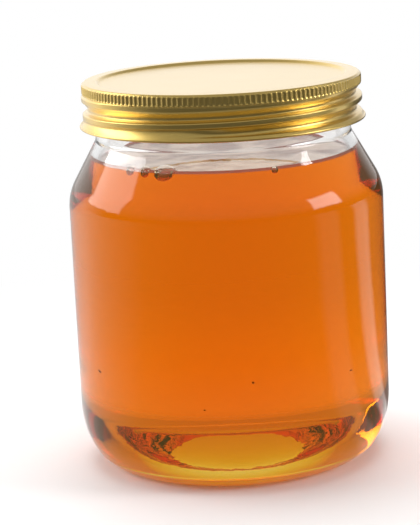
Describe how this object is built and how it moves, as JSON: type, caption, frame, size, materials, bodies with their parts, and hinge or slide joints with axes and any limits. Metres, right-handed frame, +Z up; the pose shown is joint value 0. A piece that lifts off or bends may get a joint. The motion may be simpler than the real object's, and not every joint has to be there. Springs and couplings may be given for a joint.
{
  "type": "honey jar",
  "caption": "Squat round glass jar of clear amber honey, shut with a gold lacquered metal screw lid.",
  "frame": {"origin": "on the jar's axis, in the plane of the flat ring that the jar stands on", "axes": "+Z up along the jar's axis, -Y towards the viewer, +X to the viewer's right"},
  "size_m": [0.08, 0.08, 0.098],
  "materials": {
    "clear_glass": "clear, smooth",
    "honey": "clear amber liquid",
    "gold_lacquer": "satin gold lacquer on tinplate"
  },
  "bodies": {
    "root": {"jar": "clear_glass", "honey": "honey", "lid": "gold_lacquer"}
  },
  "joints": []
}
